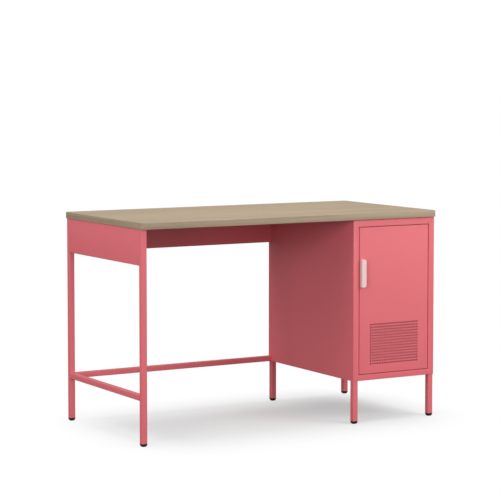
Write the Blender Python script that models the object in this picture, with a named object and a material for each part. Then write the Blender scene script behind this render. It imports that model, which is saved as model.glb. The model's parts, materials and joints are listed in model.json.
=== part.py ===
"""A steel desk with an oak-faced board and a one-door locker cabinet under its right end.

Metres, +Z up. X runs along the desk's length, the cabinet door faces -Y, and the origin lies on
the floor under the middle of the bounding box.
"""

import math

import bmesh
import bpy
from mathutils import Matrix, Vector

# ------------------------------------------------------------------ driving dimensions (metres)
HEIGHT = 0.756
TOP_LENGTH = 1.200
TOP_DEPTH = 0.612
TOP_THICKNESS = 0.023
TOP_CORNER_RADIUS = 0.012
TOP_EDGE_RADIUS = 0.0015
OVERHANG_END = 0.0025  # the board past the steelwork at each end
OVERHANG_LONG = 0.011  # the board past the steelwork at the front and at the rear

GAP = 0.0003  # between pieces that touch
SMOOTH_ANGLE = math.radians(35)  # faces that meet at less are shaded smooth
CORNER_ANGLE = math.radians(60)  # edges of the board sharper than this are rounded
SHEET = 0.001
TUBE = 0.020
TUBE_WALL = 0.0015
TUBE_RADIUS = 0.002
FOOT_HEIGHT = 0.010
FOOT_STEM = 0.020
FOOT_SECTIONS = (  # height, side and corner radius of the pad, from the floor up
    (0.0, 0.0140, 0.0030),
    (0.0012, 0.0162, 0.0035),
    (0.0040, 0.0188, 0.0030),
    (0.0065, TUBE, TUBE_RADIUS),
)
RAIL_BOTTOM = 0.154  # underside of the stretchers and of the cabinet
APRON_BOTTOM = 0.611
APRON_DEPTH = 0.018

CABINET_WIDTH = 0.350
PAN_DEPTH = 0.016  # upturned edge of the cabinet floor, downturned edge of its roof
OPENING_WIDTH = 0.303
OPENING_BOTTOM = 0.175
OPENING_TOP = 0.707
SIDE_RETURN = 0.016
LATCH_RETURN = 0.020
TOP_RETURN = 0.035
STOP_LIP = 0.014

DOOR_SIDE_GAP = 0.003
DOOR_END_GAP = 0.002
DOOR_DEPTH = 0.016
DOOR_LIP = 0.012
VENT_COLUMNS = 21
VENT_ROWS = 15
VENT_PITCH = 0.0101
VENT_RADIUS = 0.003
VENT_BOTTOM = 0.0355  # first row of holes above the door's lower edge

HANDLE_STANDOFF = 0.015
HANDLE_WIDTH = 0.018
HANDLE_HEIGHT = 0.100
HANDLE_CENTRE = 0.5415
HANDLE_INSET = 0.001
HANDLE_WEB = 0.003
HANDLE_FLANGE = 0.0025
HANDLE_BASE = 0.002
HANDLE_CORNER = 0.008
HANDLE_SCREW_SPACING = 0.052

HINGE_INSET = 0.009  # axis from the door's right edge
HINGE_SETBACK = 0.005  # axis behind the door's front face
PIN_RADIUS = 0.002
PIN_REACH = 0.014
PIN_HEAD_RADIUS = 0.004
PIN_HEAD_HEIGHT = 0.0014
PIN_CHAMFER = (0.0006, 0.001)  # across and along
BUSH_RADIUS = 0.0035
BUSH_LENGTH = 0.009
BUSH_FLANGE = 0.0045
BUSH_FLANGE_THICKNESS = 0.0012
THROUGH_SHEET = 0.003  # length of a hole drilled through one sheet

SHELF_LEVEL = 0.440
SHELF_WIDTH = 0.300
SHELF_THICKNESS = 0.020
SHELF_LIP = 0.010
SHELF_FRONT_CLEARANCE = 0.025
SHELF_REAR_CLEARANCE = 0.011
PEG_RADIUS = 0.0022
PEG_HOLE_RADIUS = 0.0026
PEG_LENGTH = 0.005
PEG_DROP = 0.008  # the peg's axis below the shelf
PEG_HOLE_PITCH = 0.050
PEG_HOLES_EACH_WAY = 3
CLIP_SHEET = 0.0015
CLIP_HEIGHT = 0.016
CLIP_OUTER = 0.006  # the clip past its peg, towards the cabinet's side
CLIP_INNER = 0.027  # and towards its middle
CLIP_TONGUE = 0.018

STIFFENER_BOTTOM = 0.380
STIFFENER_LENGTH = 0.300
STIFFENER_HEIGHT = 0.010
STIFFENER_BRIM = 0.026  # half the hat's width over its brims
STIFFENER_CROWN = 0.014  # half its width over the crown

CATCH_OFFSET = 0.047  # middle of the catch from the door's left edge
STRIKE_HALF_WIDTH = 0.019
STRIKE_SHEET = 0.0012
STRIKE_BELOW_TOP = (0.0115, 0.0015)  # its lower and upper edge under the door's top
MAGNET_HALF_WIDTH = 0.014
MAGNET_DEPTH = 0.008
MAGNET_BELOW_OPENING = (0.0110, 0.0035)
MAGNET_PROUD = 0.0006
HOUSING_HALF_WIDTH = 0.024
HOUSING_HEIGHT = 0.014
CATCH_SCREW_OFFSET = 0.019

BUMPER_RADIUS = 0.004
BUMPER_THICKNESS = 0.0019
BUMPER_CHAMFER = (0.0006, 0.001)  # along its axis and across
BUMPER_INSET = 0.060  # from the door's lower and upper edge

APRON_SCREW_INSET = 0.120  # board screws from the steelwork's front and rear
REAR_SCREW_INSETS = (0.200, 0.180)  # from the left end and from the cabinet
CABINET_SCREW_OFFSET = 0.090  # from the cabinet's middle
BOLT_LEVELS = {"rear_apron_lower": 0.636, "rear_apron_upper": 0.706}
NUT_RADIUS = 0.0048
NUT_HEIGHT = 0.0045
NUT_BLOCK_LENGTH = 0.0117

# shares of a screw's own head and shank sizes
HEAD_TOP = 0.82  # the head's top face, before its bevel
HEAD_SHOULDER = 0.7  # height where that bevel ends
SHANK_TIP = 0.5
SOCKET_ACROSS = 0.5
SOCKET_DEPTH = 0.6
# shank radius, shank length, head radius, head height
BOARD_SCREW = (0.0020, 0.017, 0.0045, 0.0025)
RAIL_BOLT = (0.0025, 0.035, 0.0045, 0.0035)
HANDLE_SCREW = (0.0020, 0.0045, 0.0040, 0.0020)
CATCH_SCREW = (0.0015, 0.018, 0.0030, 0.0016)
BOARD_HOLE_RADIUS = 0.0025
RAIL_HOLE_RADIUS = 0.0029
POST_HOLE_LENGTH = 0.0225  # from a bolt's head out past the post and the side sheet
APRON_HOLE_LENGTH = 0.025  # and on past the apron's end
HANDLE_HOLE_RADIUS = 0.0023
CATCH_HOLE_RADIUS = 0.0018

# ------------------------------------------------------------------ planes worked out from them
HANDLE_PROUD = HANDLE_STANDOFF - OVERHANG_LONG  # the pull stands this far past the board
TOP_FRONT = -(TOP_DEPTH - HANDLE_PROUD) / 2
TOP_REAR = TOP_FRONT + TOP_DEPTH
TOP_UNDERSIDE = HEIGHT - TOP_THICKNESS
STEEL_TOP = TOP_UNDERSIDE - GAP
STEEL_LEFT = -TOP_LENGTH / 2 + OVERHANG_END
STEEL_RIGHT = TOP_LENGTH / 2 - OVERHANG_END
STEEL_FRONT = TOP_FRONT + OVERHANG_LONG
STEEL_REAR = TOP_REAR - OVERHANG_LONG

CABINET_LEFT = STEEL_RIGHT - CABINET_WIDTH
CABINET_MIDDLE = STEEL_RIGHT - CABINET_WIDTH / 2
INNER_LEFT = CABINET_LEFT + SHEET + GAP
INNER_RIGHT = STEEL_RIGHT - SHEET - GAP
INNER_FRONT = STEEL_FRONT + SHEET + GAP
INNER_REAR = STEEL_REAR - SHEET - GAP
OPENING_LEFT = CABINET_MIDDLE - OPENING_WIDTH / 2
OPENING_RIGHT = CABINET_MIDDLE + OPENING_WIDTH / 2

DOOR_LEFT = OPENING_LEFT + DOOR_SIDE_GAP
DOOR_RIGHT = OPENING_RIGHT - DOOR_SIDE_GAP
DOOR_BOTTOM = OPENING_BOTTOM + DOOR_END_GAP
DOOR_TOP = OPENING_TOP - DOOR_END_GAP
DOOR_BACK = STEEL_FRONT + DOOR_DEPTH
DOOR_INNER_FACE = STEEL_FRONT + SHEET
HINGE_X = DOOR_RIGHT - HINGE_INSET
HINGE_Y = STEEL_FRONT + HINGE_SETBACK

AXIS_TURNS = {
    "x": Matrix.Rotation(math.radians(90), 4, "Y"),
    "-x": Matrix.Rotation(math.radians(-90), 4, "Y"),
    "y": Matrix.Rotation(math.radians(-90), 4, "X"),
    "-y": Matrix.Rotation(math.radians(90), 4, "X"),
    "z": Matrix.Identity(4),
    "-z": Matrix.Rotation(math.radians(180), 4, "X"),
}


# ------------------------------------------------------------------ finishes
def finish(name, red, green, blue, roughness, metallic=0.0):
    """A Principled material from an 8-bit display colour."""

    def linear(value):
        share = value / 255
        return share / 12.92 if share <= 0.04045 else ((share + 0.055) / 1.055) ** 2.4

    material = bpy.data.materials.new(name)
    material.use_nodes = True
    shader = material.node_tree.nodes["Principled BSDF"]
    shader.inputs["Base Color"].default_value = (linear(red), linear(green), linear(blue), 1.0)
    shader.inputs["Roughness"].default_value = roughness
    shader.inputs["Metallic"].default_value = metallic
    return material


# ------------------------------------------------------------------ shapes
def rounded_rectangle(width, height, radius, steps=3):
    """Corner points of a rectangle about the origin, counter-clockwise, with round corners."""
    points = []
    for quarter, (side, end) in enumerate(((1, 1), (-1, 1), (-1, -1), (1, -1))):
        centre_x = side * (width / 2 - radius)
        centre_y = end * (height / 2 - radius)
        for step in range(steps + 1):
            angle = math.radians(90) * (quarter + step / steps)
            points.append((centre_x + radius * math.cos(angle), centre_y + radius * math.sin(angle)))
    return points


def circle(radius, segments):
    """Points of a regular polygon about the origin, counter-clockwise."""
    turns = [2 * math.pi * step / segments for step in range(segments)]
    return [(radius * math.cos(turn), radius * math.sin(turn)) for turn in turns]


def place(name, mesh_builder, material, at, axis="z"):
    """An object from a bmesh, with its local Z along the axis."""
    bmesh.ops.recalc_face_normals(mesh_builder, faces=mesh_builder.faces)
    mesh = bpy.data.meshes.new(name)
    mesh_builder.to_mesh(mesh)
    mesh_builder.free()
    mesh.materials.append(material)
    mesh.shade_smooth()
    mesh.set_sharp_from_angle(angle=SMOOTH_ANGLE)
    made = bpy.data.objects.new(name, mesh)
    bpy.context.scene.collection.objects.link(made)
    made.matrix_basis = Matrix.Translation(Vector(at)) @ AXIS_TURNS[axis]
    return made


def box(name, material, x, y, z):
    """A box between the two values given for each axis."""
    builder = bmesh.new()
    bmesh.ops.create_cube(builder, size=1.0)
    size = [abs(high - low) for low, high in (x, y, z)]
    middle = [(low + high) / 2 for low, high in (x, y, z)]
    bmesh.ops.scale(builder, vec=size, verts=builder.verts)
    return place(name, builder, material, middle)


def lofted(name, material, at, axis, sections, inner=None):
    """A solid through outlines at heights along the axis, solid or with a straight bore.

    Each section is (height, outline), and inner is the bore's outline. All outlines have the same
    number of points.
    """
    builder = bmesh.new()
    rings = [[builder.verts.new((x, y, height)) for x, y in outline] for height, outline in sections]
    count = len(rings[0])
    neighbours = [(step, (step + 1) % count) for step in range(count)]
    for lower, upper in zip(rings, rings[1:]):
        for here, after in neighbours:
            builder.faces.new((lower[here], lower[after], upper[after], upper[here]))
    if inner is None:
        builder.faces.new(list(reversed(rings[0])))
        builder.faces.new(rings[-1])
    else:
        bottom, top = sections[0][0], sections[-1][0]
        bore = [[builder.verts.new((x, y, height)) for x, y in inner] for height in (bottom, top)]
        for here, after in neighbours:
            builder.faces.new((bore[0][after], bore[0][here], bore[1][here], bore[1][after]))
            builder.faces.new((rings[0][after], rings[0][here], bore[0][here], bore[0][after]))
            builder.faces.new((rings[-1][here], rings[-1][after], bore[1][after], bore[1][here]))
    return place(name, builder, material, at, axis)


def extruded(name, material, at, axis, outline, length, inner=None):
    """One outline carried along an axis."""
    return lofted(name, material, at, axis, [(0.0, outline), (length, outline)], inner)


def turned(name, material, at, axis, profile, segments=12, bore=None):
    """A round solid from (height, radius) pairs, with an optional bore radius."""
    sections = [(height, circle(radius, segments)) for height, radius in profile]
    return lofted(name, material, at, axis, sections, circle(bore, segments) if bore else None)


def combine(target, tool, operation):
    """A Boolean on target by a tool that stays in the file as a hidden guide."""
    modifier = target.modifiers.new(tool.name, "BOOLEAN")
    modifier.operation = operation
    modifier.object = tool
    tool.hide_render = True
    tool.display_type = "WIRE"
    tool.parent = target
    tool.matrix_parent_inverse = target.matrix_basis.inverted()


def cut(target, *tools):
    for tool in tools:
        combine(target, tool, "DIFFERENCE")


def join(target, *tools):
    for tool in tools:
        combine(target, tool, "UNION")


def pan(name, material, x, y, z, open_side, lip=0.0):
    """A folded sheet tray: a box open on one side, with a lip turned in round the opening."""
    tray = box(name, material, x, y, z)
    spans = [list(x), list(y), list(z)]
    cavity = [[low + SHEET, high - SHEET] for low, high in spans]
    window = [[low + SHEET + lip, high - SHEET - lip] for low, high in spans]
    axis = "xyz".index(open_side[-1])
    end = 0 if open_side[0] == "-" else 1
    beyond = (-1 if end == 0 else 1) * 4 * SHEET
    if lip:
        window[axis] = [spans[axis][end] - beyond, spans[axis][end] + beyond]
        cut(tray, box(f"{name}.cavity", material, *cavity), box(f"{name}.window", material, *window))
    else:
        cavity[axis][end] = spans[axis][end] + beyond
        cut(tray, box(f"{name}.cavity", material, *cavity))
    return tray


def square_tube(name, material, at, axis, length):
    """A round-cornered square tube, open at both ends, centred on its start point."""
    outer = rounded_rectangle(TUBE, TUBE, TUBE_RADIUS)
    bore_side = TUBE - 2 * TUBE_WALL
    inner = rounded_rectangle(bore_side, bore_side, TUBE_RADIUS - TUBE_WALL)
    return extruded(name, material, at, axis, outer, length, inner)


def drill(target, label, at, axis, radius, length, segments=12):
    """A round hole that starts at a point and runs along the axis."""
    profile = [(0.0, radius), (length, radius)]
    cut(target, turned(f"{target.name}.{label}", target.data.materials[0], at, axis, profile, segments))


def screw(name, material, at, axis, sizes):
    """A socket-head screw whose head bears at the point given and whose shank runs along the axis."""
    shank_radius, shank_length, head_radius, head_height = sizes
    profile = [
        (-head_height, head_radius * HEAD_TOP),
        (-head_height * HEAD_SHOULDER, head_radius),
        (0.0, head_radius),
        (0.0, shank_radius),
        (shank_length - shank_radius * SHANK_TIP, shank_radius),
        (shank_length, shank_radius * SHANK_TIP),
    ]
    made = turned(name, material, at, axis, profile)
    start = Vector(at) + AXIS_TURNS[axis] @ Vector((0, 0, -head_height - GAP))
    socket_radius = head_radius * SOCKET_ACROSS
    socket = [(0.0, socket_radius), (head_height * SOCKET_DEPTH + GAP, socket_radius)]
    cut(made, turned(f"{name}.socket", material, start, axis, socket, 6))
    return made


# ------------------------------------------------------------------ the board
def make_tabletop(oak):
    outline = rounded_rectangle(TOP_LENGTH, TOP_DEPTH, TOP_CORNER_RADIUS, steps=5)
    middle = (0.0, (TOP_FRONT + TOP_REAR) / 2, TOP_UNDERSIDE)
    top = extruded("tabletop", oak, middle, "z", outline, TOP_THICKNESS)
    rounding = top.modifiers.new("edge rounding", "BEVEL")
    rounding.width = TOP_EDGE_RADIUS
    rounding.segments = 2
    rounding.limit_method = "ANGLE"
    rounding.angle_limit = CORNER_ANGLE
    return top


def fix_board(top, carriers, zinc):
    """Wood screws up through the steel flanges into blind pilot holes in the board."""
    flange_underside = STEEL_TOP - SHEET
    side_apron, rear_apron, roof = carriers
    side_x = STEEL_LEFT + APRON_DEPTH / 2
    rear_y = STEEL_REAR - TUBE + APRON_DEPTH / 2
    front_y = STEEL_FRONT + APRON_SCREW_INSET
    back_y = STEEL_REAR - APRON_SCREW_INSET
    places = [("side_apron", side_apron, side_x, front_y), ("side_apron", side_apron, side_x, back_y)]
    places.append(("rear_apron", rear_apron, STEEL_LEFT + REAR_SCREW_INSETS[0], rear_y))
    places.append(("rear_apron", rear_apron, CABINET_LEFT - REAR_SCREW_INSETS[1], rear_y))
    places.append(("cabinet", roof, CABINET_MIDDLE - CABINET_SCREW_OFFSET, front_y))
    places.append(("cabinet", roof, CABINET_MIDDLE + CABINET_SCREW_OFFSET, back_y))
    for number, (label, carrier, x, y) in enumerate(places, 1):
        head = (x, y, flange_underside - GAP)
        screw(f"board_screw_{label}_{number}", zinc, head, "z", BOARD_SCREW)
        below = (x, y, flange_underside - SHEET)
        drill(carrier, f"board_hole_{number}", below, "z", BOARD_HOLE_RADIUS, THROUGH_SHEET, 8)
        pilot_length = BOARD_SCREW[1] + SHEET
        drill(top, f"pilot_{number}", (x, y, TOP_UNDERSIDE - SHEET), "z", BOARD_HOLE_RADIUS, pilot_length, 8)


# ------------------------------------------------------------------ open end of the frame
def make_foot(name, plastic, x, y):
    """A plug foot: a tapering pad under the tube and a stem inside it."""
    stem = TUBE - 2 * TUBE_WALL - 2 * GAP
    pad_top = FOOT_HEIGHT - GAP
    sections = [(z, rounded_rectangle(side, side, radius)) for z, side, radius in FOOT_SECTIONS]
    sections += [
        (pad_top, rounded_rectangle(TUBE, TUBE, TUBE_RADIUS)),
        (pad_top, rounded_rectangle(stem, stem, TUBE_RADIUS - TUBE_WALL)),
        (pad_top + FOOT_STEM, rounded_rectangle(stem, stem, TUBE_RADIUS - TUBE_WALL)),
    ]
    return lofted(name, plastic, (x, y, 0.0), "z", sections)


def make_open_end(coral, plastic):
    """Two legs with an apron and a low stretcher between them, and the feet under them."""
    leg_x = STEEL_LEFT + TUBE / 2
    front_y = STEEL_FRONT + TUBE / 2
    rear_y = STEEL_REAR - TUBE / 2
    for place_name, y in (("front", front_y), ("rear", rear_y)):
        start = (leg_x, y, FOOT_HEIGHT)
        square_tube(f"left_{place_name}_leg", coral, start, "z", STEEL_TOP - FOOT_HEIGHT)
        make_foot(f"left_{place_name}_foot", plastic, leg_x, y)
    between = (STEEL_FRONT + TUBE + GAP, STEEL_REAR - TUBE - GAP)
    apron_x = (STEEL_LEFT, STEEL_LEFT + APRON_DEPTH)
    apron = pan("left_side_apron", coral, apron_x, between, (APRON_BOTTOM, STEEL_TOP), "+x")
    stretcher_start = (leg_x, between[0], RAIL_BOTTOM + TUBE / 2)
    square_tube("left_side_stretcher", coral, stretcher_start, "y", between[1] - between[0])
    return apron


# ------------------------------------------------------------------ rear apron and stretcher
def make_rear_rails(coral, zinc, posts, side_panel):
    """The two long rear pieces, bolted to the cabinet's rear left post from inside the cabinet."""
    span = (STEEL_LEFT + TUBE + GAP, CABINET_LEFT - GAP)
    apron_y = (STEEL_REAR - TUBE, STEEL_REAR - TUBE + APRON_DEPTH)
    apron = pan("rear_apron", coral, span, apron_y, (APRON_BOTTOM, STEEL_TOP), "+y")
    rail_y = STEEL_REAR - TUBE / 2
    stretcher_z = RAIL_BOTTOM + TUBE / 2
    square_tube("rear_stretcher", coral, (span[0], rail_y, stretcher_z), "x", span[1] - span[0])

    post = posts["rear_left"]
    bearing_x = INNER_LEFT + TUBE + GAP
    block_side = TUBE - 2 * TUBE_WALL - 2 * GAP
    block_outline = rounded_rectangle(block_side, block_side, TUBE_RADIUS - TUBE_WALL)
    block_start = (span[1] - NUT_BLOCK_LENGTH - GAP, rail_y, stretcher_z)
    block = extruded("rear_stretcher_nut_block", zinc, block_start, "x", block_outline, NUT_BLOCK_LENGTH)
    for label, level in {"rear_stretcher": stretcher_z, **BOLT_LEVELS}.items():
        bolt_y = rail_y if label == "rear_stretcher" else sum(apron_y) / 2
        head = (bearing_x, bolt_y, level)
        screw(f"{label}_bolt", zinc, head, "-x", RAIL_BOLT)
        for pierced in (post, side_panel):
            drill(pierced, f"{label}_hole", head, "-x", RAIL_HOLE_RADIUS, POST_HOLE_LENGTH)
        if label == "rear_stretcher":
            drill(block, "thread", head, "-x", RAIL_HOLE_RADIUS, 2 * TUBE)
        else:
            drill(apron, f"{label}_hole", head, "-x", RAIL_HOLE_RADIUS, APRON_HOLE_LENGTH)
            nut_start = (span[1] - SHEET - GAP, bolt_y, level)
            nut = [(0.0, NUT_RADIUS), (NUT_HEIGHT, NUT_RADIUS)]
            turned(f"{label}_nut", zinc, nut_start, "-x", nut, segments=6, bore=RAIL_HOLE_RADIUS)
    return apron


# ------------------------------------------------------------------ cabinet shell
def make_posts(coral, plastic):
    """Four square tubes in the cabinet's corners, which reach the floor as its legs."""
    posts = {}
    columns = {"left": INNER_LEFT + TUBE / 2, "right": INNER_RIGHT - TUBE / 2}
    rows = {"front": INNER_FRONT + TUBE / 2, "rear": INNER_REAR - TUBE / 2}
    for row, y in rows.items():
        for column, x in columns.items():
            start = (x, y, FOOT_HEIGHT)
            post = square_tube(f"cabinet_{row}_{column}_post", coral, start, "z", STEEL_TOP - FOOT_HEIGHT)
            make_foot(f"cabinet_{row}_{column}_foot", plastic, x, y)
            inward = 1 if row == "front" else -1
            for step in range(-PEG_HOLES_EACH_WAY, PEG_HOLES_EACH_WAY + 1):
                level = SHELF_LEVEL - PEG_DROP + step * PEG_HOLE_PITCH
                wall = (x, y + inward * (TUBE / 2 - 2 * TUBE_WALL), level)
                axis = "y" if inward > 0 else "-y"
                drill(post, f"peg_hole_{step}", wall, axis, PEG_HOLE_RADIUS, 4 * TUBE_WALL, 6)
            posts[f"{row}_{column}"] = post
    return posts


def make_front_frame(coral):
    """The face round the door, with edges folded back and a stop lip on the latch side."""
    frame_x = (CABINET_LEFT, STEEL_RIGHT)
    face_y = (STEEL_FRONT, STEEL_FRONT + SHEET)
    frame = box("cabinet_front_frame", coral, frame_x, face_y, (RAIL_BOTTOM, STEEL_TOP))
    opening_x = (OPENING_LEFT, OPENING_RIGHT)
    opening_z = (OPENING_BOTTOM, OPENING_TOP)
    through = (STEEL_FRONT - 2 * SHEET, STEEL_FRONT + 3 * SHEET)
    cut(frame, box("cabinet_front_frame.opening", coral, opening_x, through, opening_z))

    def folded(label, x, depth, z):
        return box(f"cabinet_front_frame.{label}", coral, x, (STEEL_FRONT, STEEL_FRONT + depth), z)

    buried = SHEET / 2  # how far one folded edge runs into the next
    wide_x = (OPENING_LEFT - SHEET, OPENING_RIGHT + SHEET)
    tall_z = (OPENING_BOTTOM - buried, OPENING_TOP + buried)
    latch_x = (OPENING_LEFT - SHEET, OPENING_LEFT)
    hinge_x = (OPENING_RIGHT, OPENING_RIGHT + SHEET)
    join(
        frame,
        folded("latch_return", latch_x, LATCH_RETURN, tall_z),
        folded("hinge_return", hinge_x, SIDE_RETURN, tall_z),
        folded("top_return", wide_x, TOP_RETURN, (OPENING_TOP, OPENING_TOP + SHEET)),
        folded("bottom_return", wide_x, SIDE_RETURN, (OPENING_BOTTOM - SHEET, OPENING_BOTTOM)),
    )
    lip_x = (OPENING_LEFT - buried, OPENING_LEFT + STOP_LIP)
    lip_y = (STEEL_FRONT + LATCH_RETURN - SHEET, STEEL_FRONT + LATCH_RETURN)
    join(frame, box("cabinet_front_frame.stop_lip", coral, lip_x, lip_y, tall_z))
    return frame


def notch_for_posts(tray, material, z):
    """Square corner cut-outs so that a tray fits round the four posts."""
    clear = TUBE + 2 * GAP
    for row, y in (("front", INNER_FRONT), ("rear", INNER_REAR)):
        for column, x in (("left", INNER_LEFT), ("right", INNER_RIGHT)):
            x_span = (x - clear, x + clear)
            y_span = (y - clear, y + clear)
            cut(tray, box(f"{tray.name}.{row}_{column}_notch", material, x_span, y_span, z))


def make_shell(coral):
    """Side, rear, floor and roof sheets of the cabinet."""
    side_y = (INNER_FRONT, STEEL_REAR)
    full_z = (RAIL_BOTTOM, STEEL_TOP)
    left = box("cabinet_left_panel", coral, (CABINET_LEFT, CABINET_LEFT + SHEET), side_y, full_z)
    box("cabinet_right_panel", coral, (STEEL_RIGHT - SHEET, STEEL_RIGHT), side_y, full_z)
    inside_x = (INNER_LEFT, INNER_RIGHT)
    box("cabinet_back_panel", coral, inside_x, (STEEL_REAR - SHEET, STEEL_REAR), full_z)

    inside_y = (INNER_FRONT, INNER_REAR)
    beyond = 2 * SHEET
    floor_z = (RAIL_BOTTOM, RAIL_BOTTOM + PAN_DEPTH)
    floor = pan("cabinet_floor", coral, inside_x, inside_y, floor_z, "+z")
    notch_for_posts(floor, coral, (floor_z[0] - beyond, floor_z[1] + beyond))
    roof_z = (STEEL_TOP - PAN_DEPTH, STEEL_TOP)
    roof = pan("cabinet_roof", coral, inside_x, inside_y, roof_z, "-z")
    notch_for_posts(roof, coral, (roof_z[0] - beyond, roof_z[1] + beyond))
    return left, roof


# ------------------------------------------------------------------ shelf
def make_shelf(coral, zinc):
    shelf_x = (CABINET_MIDDLE - SHELF_WIDTH / 2, CABINET_MIDDLE + SHELF_WIDTH / 2)
    shelf_y = (STEEL_FRONT + SHELF_FRONT_CLEARANCE, STEEL_REAR - SHELF_REAR_CLEARANCE)
    shelf_z = (SHELF_LEVEL, SHELF_LEVEL + SHELF_THICKNESS)
    pan("cabinet_shelf", coral, shelf_x, shelf_y, shelf_z, "-z", lip=SHELF_LIP)
    rows = {"front": (INNER_FRONT + TUBE + GAP, 1), "rear": (INNER_REAR - TUBE - GAP, -1)}
    columns = {"left": (INNER_LEFT + TUBE / 2, 1), "right": (INNER_RIGHT - TUBE / 2, -1)}
    for row, (face_y, along) in rows.items():
        for column, (peg_x, inward) in columns.items():
            make_clip(f"shelf_clip_{row}_{column}", zinc, face_y, along, peg_x, inward)


def make_clip(name, zinc, face_y, along, peg_x, inward):
    """A bent clip: a plate on the post, a tongue under the shelf and a peg in the post's hole."""
    span_x = sorted((peg_x - inward * CLIP_OUTER, peg_x + inward * CLIP_INNER))
    tongue_top = SHELF_LEVEL - GAP
    plate_y = sorted((face_y, face_y + along * CLIP_SHEET))
    tongue_y = sorted((face_y, face_y + along * CLIP_TONGUE))
    clip = box(name, zinc, span_x, plate_y, (tongue_top - CLIP_HEIGHT, tongue_top))
    inset_x = (span_x[0] + GAP, span_x[1] - GAP)
    tongue = box(f"{name}.tongue", zinc, inset_x, tongue_y, (tongue_top - CLIP_SHEET, tongue_top))
    peg_start = (peg_x, face_y + along * CLIP_SHEET / 2, SHELF_LEVEL - PEG_DROP)
    peg_profile = [(0.0, PEG_RADIUS), (PEG_LENGTH, PEG_RADIUS)]
    peg = turned(f"{name}.peg", zinc, peg_start, "-y" if along > 0 else "y", peg_profile, 6)
    join(clip, tongue, peg)


# ------------------------------------------------------------------ door
def make_vent_cutter(coral):
    """One mesh of separate hexagonal prisms, a full grid of holes."""
    builder = bmesh.new()
    first_x = (DOOR_LEFT + DOOR_RIGHT) / 2 - VENT_PITCH * (VENT_COLUMNS - 1) / 2
    first_z = DOOR_BOTTOM + VENT_BOTTOM
    outline = circle(VENT_RADIUS, 6)
    for column in range(VENT_COLUMNS):
        for row in range(VENT_ROWS):
            x = first_x + column * VENT_PITCH
            z = first_z + row * VENT_PITCH
            front, back = (
                [builder.verts.new((x + dx, y, z + dz)) for dx, dz in outline]
                for y in (STEEL_FRONT - SHEET, STEEL_FRONT + 2 * SHEET)
            )
            builder.faces.new(front)
            builder.faces.new(list(reversed(back)))
            for here in range(6):
                after = (here + 1) % 6
                builder.faces.new((front[after], front[here], back[here], back[after]))
    return place("door_panel.vents", builder, coral, (0.0, 0.0, 0.0))


def make_door_panel(coral):
    door_x = (DOOR_LEFT, DOOR_RIGHT)
    door_z = (DOOR_BOTTOM, DOOR_TOP)
    door = pan("door_panel", coral, door_x, (STEEL_FRONT, DOOR_BACK), door_z, "+y", lip=DOOR_LIP)
    cut(door, make_vent_cutter(coral))
    return door


def make_stiffener(coral):
    """A hat-section strip on the inside of the door above the vents."""
    low = DOOR_INNER_FACE + GAP
    high = low + STIFFENER_HEIGHT
    right_half = [
        (STIFFENER_CROWN - SHEET, high - SHEET),
        (STIFFENER_CROWN - SHEET, low),
        (STIFFENER_BRIM, low),
        (STIFFENER_BRIM, low + SHEET),
        (STIFFENER_CROWN, low + SHEET),
        (STIFFENER_CROWN, high),
    ]
    left_half = [(-x, y) for x, y in reversed(right_half)]
    start = ((DOOR_LEFT + DOOR_RIGHT) / 2, 0.0, STIFFENER_BOTTOM)
    return extruded("door_stiffener", coral, start, "z", right_half + left_half, STIFFENER_LENGTH)


def make_handle(white, zinc, door):
    """A channel pull, open to the right, held by two screws from inside the door."""
    left = DOOR_LEFT + HANDLE_INSET
    right = left + HANDLE_WIDTH
    front = STEEL_FRONT - HANDLE_STANDOFF
    back = STEEL_FRONT - GAP
    outline = [
        (left, front),
        (right, front),
        (right, front + HANDLE_FLANGE),
        (left + HANDLE_WEB, front + HANDLE_FLANGE),
        (left + HANDLE_WEB, back - HANDLE_BASE),
        (right, back - HANDLE_BASE),
        (right, back),
        (left, back),
    ]
    bottom = HANDLE_CENTRE - HANDLE_HEIGHT / 2
    handle = extruded("door_handle", white, (0.0, 0.0, bottom), "z", outline, HANDLE_HEIGHT)
    hidden = HANDLE_WIDTH  # the rounding outline runs on past the web, so that only the free corners turn
    face = rounded_rectangle(HANDLE_WIDTH + hidden, HANDLE_HEIGHT + GAP, HANDLE_CORNER, steps=5)
    shape_at = ((left - hidden + right) / 2, front - SHEET, HANDLE_CENTRE)
    shape = extruded("door_handle.face_shape", white, shape_at, "y", face, HANDLE_STANDOFF + 2 * SHEET)
    combine(handle, shape, "INTERSECT")
    screw_x = (left + HANDLE_WEB + right) / 2
    for label, offset in (("lower", -HANDLE_SCREW_SPACING / 2), ("upper", HANDLE_SCREW_SPACING / 2)):
        head = (screw_x, DOOR_INNER_FACE + GAP, HANDLE_CENTRE + offset)
        screw(f"handle_screw_{label}", zinc, head, "-y", HANDLE_SCREW)
        drill(door, f"handle_hole_{label}", head, "-y", HANDLE_HOLE_RADIUS, THROUGH_SHEET, 8)
        drill(handle, f"thread_{label}", head, "-y", HANDLE_HOLE_RADIUS, 2 * THROUGH_SHEET, 8)
    return handle


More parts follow.
